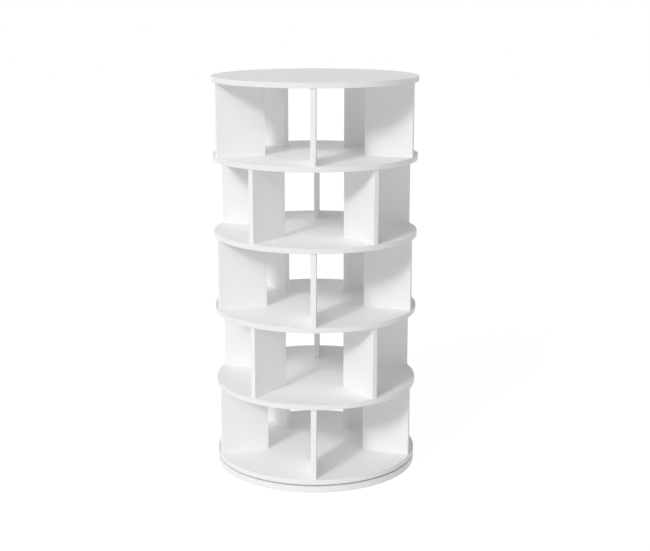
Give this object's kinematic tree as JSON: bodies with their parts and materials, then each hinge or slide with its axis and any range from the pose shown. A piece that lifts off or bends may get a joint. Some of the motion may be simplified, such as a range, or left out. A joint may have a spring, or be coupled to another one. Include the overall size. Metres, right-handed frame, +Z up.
{
  "type": "rotating shoe tower",
  "caption": "Free-standing round shoe tower: stacked tiers of radial dividers between white round boards, turning as one piece on a round base board.",
  "frame": {"origin": "on the floor, at the middle of the round base, on the axis the tower turns about", "axes": "+Z is up along the turning axis. -Y is the front: the lowest, the middle and the highest tier each have a divider that points to -Y. +X is to the right as seen from the front."},
  "size_m": [0.6, 0.6, 1.166],
  "materials": {
    "white_board": "satin white coated particle board",
    "white_edge_band": "satin white plastic edge band",
    "pad_felt": "dense grey felt",
    "zinc_plated_race": "zinc plated pressed sheet",
    "zinc_plated_screw": "zinc plated",
    "bearing_ball": "polished",
    "cage_nylon": "natural nylon",
    "die_cast_zinc": "raw die casting",
    "white_cap": "satin white moulding",
    "beech": "plain beech"
  },
  "bodies": {
    "base": {"base_board": "white_board", "base_edge_band": "white_edge_band", "bearing_lower_race": "zinc_plated_race", "floor_pads": "pad_felt", "lower_race_screws": "zinc_plated_screw"},
    "ball_cage": {"bearing_balls": "bearing_ball", "bearing_ball_cage": "cage_nylon"},
    "tower": {"bearing_upper_race": "zinc_plated_race", "bottom_shelf": "white_board", "bottom_shelf_edge_band": "white_edge_band", "cam_bolts": "zinc_plated_screw", "cam_caps": "white_cap", "cam_nuts": "die_cast_zinc", "divider_inner_bands": "white_edge_band", "divider_outer_bands": "white_edge_band", "dowels": "beech", "shelf_1": "white_board", "shelf_1_edge_band": "white_edge_band", "shelf_2": "white_board", "shelf_2_edge_band": "white_edge_band", "shelf_3": "white_board", "shelf_3_edge_band": "white_edge_band", "shelf_4": "white_board", "shelf_4_edge_band": "white_edge_band", "shelf_screws": "zinc_plated_screw", "tier_1_divider_a": "white_board", "tier_1_divider_b": "white_board", "tier_1_divider_c": "white_board", "tier_1_divider_d": "white_board", "tier_1_divider_e": "white_board", "tier_2_divider_a": "white_board", "tier_2_divider_b": "white_board", "tier_2_divider_c": "white_board", "tier_2_divider_d": "white_board", "tier_2_divider_e": "white_board", "tier_3_divider_a": "white_board", "tier_3_divider_b": "white_board", "tier_3_divider_c": "white_board", "tier_3_divider_d": "white_board", "tier_3_divider_e": "white_board", "tier_4_divider_a": "white_board", "tier_4_divider_b": "white_board", "tier_4_divider_c": "white_board", "tier_4_divider_d": "white_board", "tier_4_divider_e": "white_board", "tier_5_divider_a": "white_board", "tier_5_divider_b": "white_board", "tier_5_divider_c": "white_board", "tier_5_divider_d": "white_board", "tier_5_divider_e": "white_board", "top_board": "white_board", "top_board_edge_band": "white_edge_band", "upper_race_screws": "zinc_plated_screw"}
  },
  "joints": [
    {"name": "tower_spin", "type": "hinge", "parent": "base", "child": "tower", "pos_m": [0, 0, 0.022], "axis": [0, 0, 1], "continuous": true},
    {"name": "ball_cage_spin", "type": "hinge", "parent": "base", "child": "ball_cage", "pos_m": [0, 0, 0.022], "axis": [0, 0, 1], "continuous": true}
  ],
  "couplings": [
    {"joint": "ball_cage_spin", "follows": "tower_spin", "ratio": 0.5}
  ]
}
